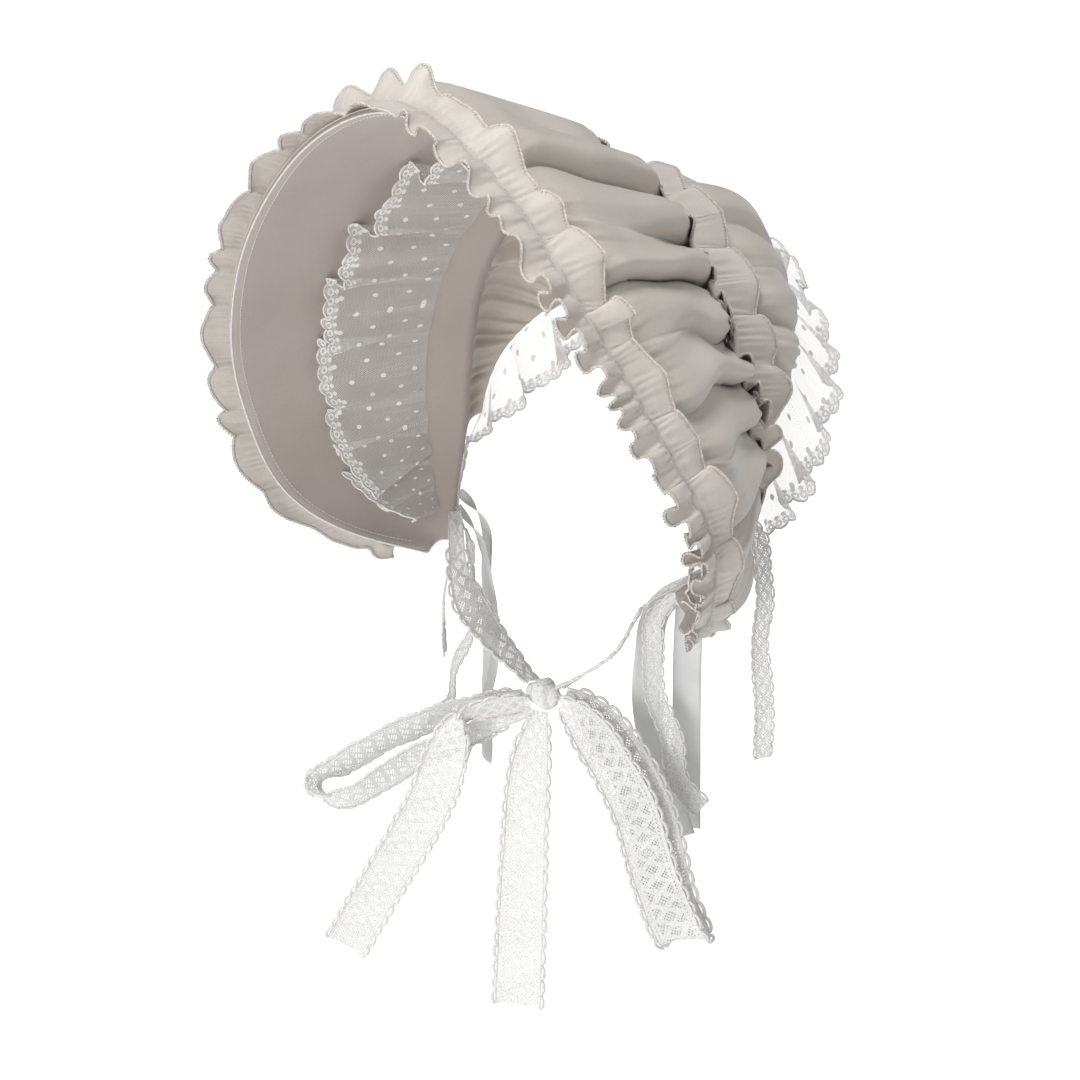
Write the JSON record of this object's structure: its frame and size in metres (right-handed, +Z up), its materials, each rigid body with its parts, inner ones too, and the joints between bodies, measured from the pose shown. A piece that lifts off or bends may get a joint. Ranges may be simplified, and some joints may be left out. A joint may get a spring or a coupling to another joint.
{
  "type": "lolita bonnet",
  "caption": "Half bonnet with a deep flared brim, gathered cloth cover, ruffled edges, tulle frills and lace chin ties in a bow, to dress a figure's head.",
  "frame": {"origin": "where the brim's crown edge rests on the top of the head, at the middle", "axes": "+Z up, the wearer faces -Y, and the wearer's left is +X"},
  "size_m": [0.3078, 0.3052, 0.488],
  "materials": {
    "lining": "matte woven lining",
    "cloth": "soft satin-back crepe",
    "ruffle": "soft satin-back crepe with an overlocked edge",
    "tulle": "sheer dotted tulle lace",
    "cotton_lace": "matte cotton bobbin lace",
    "satin": "satin ribbon"
  },
  "bodies": {
    "root": {"brim": "lining", "brim_cover": "cloth", "rim_ruffle": "ruffle", "crown_ruffle": "ruffle", "back_panel": "cloth", "back_lace_frill": "tulle", "inner_lace_frill": "tulle", "chin_tie_left": "cotton_lace", "chin_tie_right": "cotton_lace", "bow_knot": "cotton_lace", "bow_loop_left": "cotton_lace", "bow_loop_right": "cotton_lace", "bow_tail_left": "cotton_lace", "bow_tail_right": "cotton_lace", "satin_tail_front_left": "satin", "satin_tail_front_right": "satin", "satin_tail_rear_left": "satin", "satin_tail_rear_right": "satin", "lace_tail_front_left": "cotton_lace", "lace_tail_front_right": "cotton_lace", "lace_tail_rear_left": "cotton_lace", "lace_tail_rear_right": "cotton_lace"}
  },
  "joints": []
}
